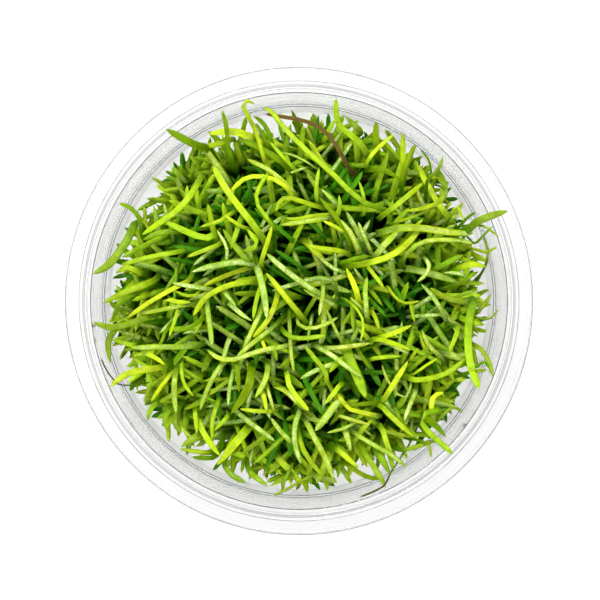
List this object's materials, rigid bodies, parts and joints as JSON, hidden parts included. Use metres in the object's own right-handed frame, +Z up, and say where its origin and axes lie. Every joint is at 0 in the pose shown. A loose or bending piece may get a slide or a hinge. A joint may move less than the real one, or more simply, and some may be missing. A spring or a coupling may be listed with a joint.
{
  "type": "aquarium plant in an open culture cup",
  "caption": "Tissue-cultured turf of small grass-leaved water plants growing on nutrient gel in an open, clear, round plastic cup with a flanged rim.",
  "frame": {"origin": "middle of the cup's foot, on the plane that it stands on", "axes": "+Z up, out of the cup's mouth; +Y is the upper side of the reference view"},
  "size_m": [0.09, 0.09, 0.0522],
  "materials": {
    "cup_plastic": "gloss",
    "gel": "satin",
    "leaf": "satin"
  },
  "bodies": {
    "root": {"cup": "cup_plastic", "nutrient_gel": "gel", "plantlet_01": "leaf", "plantlet_02": "leaf", "plantlet_03": "leaf", "plantlet_04": "leaf", "plantlet_05": "leaf", "plantlet_06": "leaf", "plantlet_07": "leaf", "plantlet_08": "leaf", "plantlet_09": "leaf", "plantlet_10": "leaf", "plantlet_11": "leaf", "plantlet_12": "leaf", "plantlet_13": "leaf", "plantlet_14": "leaf", "plantlet_15": "leaf", "plantlet_16": "leaf", "plantlet_17": "leaf", "plantlet_18": "leaf", "plantlet_19": "leaf", "plantlet_20": "leaf", "plantlet_21": "leaf", "plantlet_22": "leaf", "plantlet_23": "leaf", "plantlet_24": "leaf", "plantlet_25": "leaf", "plantlet_26": "leaf", "plantlet_27": "leaf", "plantlet_28": "leaf", "plantlet_29": "leaf", "plantlet_30": "leaf", "plantlet_31": "leaf", "plantlet_32": "leaf", "plantlet_33": "leaf", "plantlet_34": "leaf", "plantlet_35": "leaf", "plantlet_36": "leaf", "plantlet_37": "leaf", "plantlet_38": "leaf", "plantlet_39": "leaf", "plantlet_40": "leaf"}
  },
  "joints": []
}
